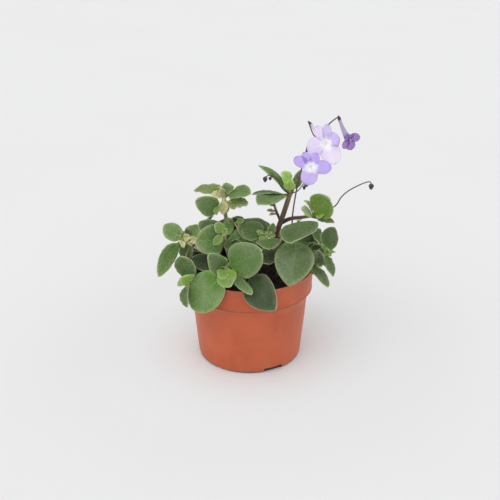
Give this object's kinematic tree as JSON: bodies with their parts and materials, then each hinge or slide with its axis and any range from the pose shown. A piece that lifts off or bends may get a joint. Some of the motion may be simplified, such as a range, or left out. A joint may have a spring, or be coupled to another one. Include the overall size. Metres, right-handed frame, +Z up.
{
  "type": "potted streptocarpus",
  "caption": "Bushy flowering house plant with small rounded velvety leaves and lilac flowers on thin stalks, in a round tapered plastic nursery pot full of soil.",
  "frame": {"origin": "the middle of the pot's flat underside, on the surface that it stands on", "axes": "+Z up; -Y towards the viewer of the picture and +X to the viewer's right"},
  "size_m": [0.1964, 0.1537, 0.2316],
  "materials": {
    "pot_plastic": "satin",
    "peat": "matte",
    "stem_green": "matte",
    "stem_brown": "matte",
    "leaf_green": "matte",
    "leaf_grey": "matte",
    "leaf_young": "matte",
    "stalk_purple": "matte",
    "petal_lilac": "matte",
    "petal_violet": "matte"
  },
  "bodies": {
    "root": {"pot": "pot_plastic", "soil": "peat", "stem_upper_left": "stem_green", "stems_left": "stem_green", "stem_middle_left": "stem_green", "stems_front": "stem_green", "stem_middle": "stem_green", "stem_right_middle": "stem_green", "stems_tall": "stem_brown", "stems_right": "stem_green", "stem_back_left": "stem_green", "stem_back_right": "stem_green", "leaf_upper_left_1": "leaf_green", "leaf_upper_left_2": "leaf_green", "leaf_upper_left_3": "leaf_green", "leaf_upper_left_4": "leaf_green", "leaf_left_1": "leaf_green", "leaf_left_2": "leaf_green", "leaf_left_3": "leaf_green", "leaf_lower_left_1": "leaf_green", "leaf_lower_left_2": "leaf_green", "leaf_low_left": "leaf_grey", "leaf_middle_left_1": "leaf_green", "leaf_middle_left_2": "leaf_green", "leaf_middle_left_3": "leaf_green", "leaf_front_1": "leaf_green", "leaf_front_2": "leaf_green", "leaf_front_3": "leaf_young", "leaf_front_4": "leaf_green", "leaf_front_5": "leaf_grey", "leaf_front_6": "leaf_green", "leaf_middle_1": "leaf_green", "leaf_middle_2": "leaf_green", "leaf_middle_3": "leaf_green", "leaf_middle_4": "leaf_green", "leaf_middle_5": "leaf_grey", "leaf_right_middle_1": "leaf_green", "leaf_right_middle_2": "leaf_grey", "leaf_right_middle_3": "leaf_green", "leaf_tall_1": "leaf_green", "leaf_tall_2": "leaf_young", "leaf_tall_3": "leaf_green", "leaf_tall_4": "leaf_grey", "leaf_upper_right_1": "leaf_young", "leaf_upper_right_2": "leaf_green", "leaf_right_1": "leaf_green", "leaf_right_2": "leaf_green", "leaf_right_3": "leaf_green", "leaf_back_left_1": "leaf_green", "leaf_back_left_2": "leaf_green", "leaf_back_right_1": "leaf_green", "leaf_back_right_2": "leaf_green", "leaf_back_right_3": "leaf_grey", "flower_stalk": "stalk_purple", "bud_stalk_right": "stalk_purple", "bud_stalk_left": "stalk_purple", "bud_stalk_middle": "stalk_purple", "corolla_front": "petal_lilac", "corolla_back": "petal_lilac", "corolla_side": "petal_violet"}
  },
  "joints": []
}
